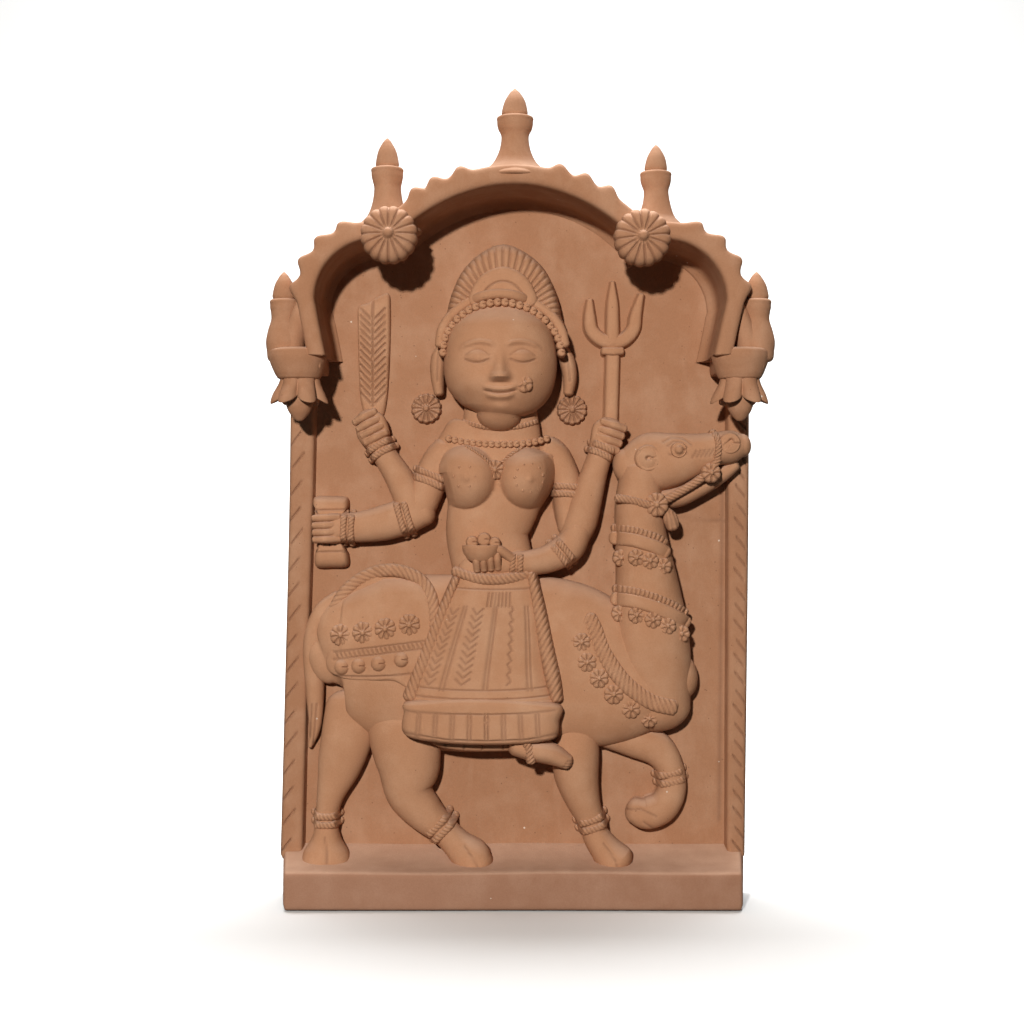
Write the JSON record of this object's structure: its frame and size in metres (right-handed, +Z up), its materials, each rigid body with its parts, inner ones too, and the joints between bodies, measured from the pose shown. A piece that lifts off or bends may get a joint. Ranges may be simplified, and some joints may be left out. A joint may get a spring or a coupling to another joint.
{
  "type": "relief plaque figurine",
  "caption": "Free-standing fired clay relief plaque: a four-armed goddess rides a camel under a scalloped arched niche.",
  "frame": {"origin": "centre of the plinth's underside, below the middle of the arch", "axes": "+Z up, the figure faces -Y, the flat back faces +Y, +X to the viewer's right"},
  "size_m": [0.3765, 0.106, 0.612],
  "materials": {
    "terracotta": "matt unglazed fired clay"
  },
  "bodies": {
    "root": {"anklets": "terracotta", "arch_band": "terracotta", "back_slab": "terracotta", "bangles": "terracotta", "base_plinth": "terracotta", "bowl_forearm": "terracotta", "breast_band": "terracotta", "breast_tassels": "terracotta", "bridle_rope": "terracotta", "bridle_rosettes": "terracotta", "camel_body": "terracotta", "camel_ear_eye_and_nostril": "terracotta", "camel_head": "terracotta", "camel_lower_jaw": "terracotta", "camel_neck": "terracotta", "camel_tail": "terracotta", "collar_discs": "terracotta", "crown": "terracotta", "crown_beads": "terracotta", "drum_forearm": "terracotta", "ear_discs": "terracotta", "ears": "terracotta", "far_hind_leg": "terracotta", "finial_buds": "terracotta", "goddess_foot": "terracotta", "goddess_head": "terracotta", "goddess_torso": "terracotta", "hand_drum": "terracotta", "hanging_buds": "terracotta", "hanging_petals": "terracotta", "left_column": "terracotta", "left_corner_finial": "terracotta", "left_cushion": "terracotta", "left_finial": "terracotta", "left_rosette": "terracotta", "near_foreleg": "terracotta", "near_hind_leg": "terracotta", "neck_collars": "terracotta", "necklace": "terracotta", "nose_ring": "terracotta", "offering_bowl": "terracotta", "raised_foreleg": "terracotta", "right_column": "terracotta", "right_corner_finial": "terracotta", "right_cushion": "terracotta", "right_finial": "terracotta", "right_rosette": "terracotta", "saddle_cloth": "terracotta", "saddle_flowers_and_bells": "terracotta", "saddle_rope": "terracotta", "skirt": "terracotta", "skirt_flounce": "terracotta", "skirt_sash": "terracotta", "sword": "terracotta", "sword_forearm": "terracotta", "sword_upper_arm": "terracotta", "top_finial": "terracotta", "trident": "terracotta", "trident_forearm": "terracotta", "trident_upper_arm": "terracotta"}
  },
  "joints": []
}
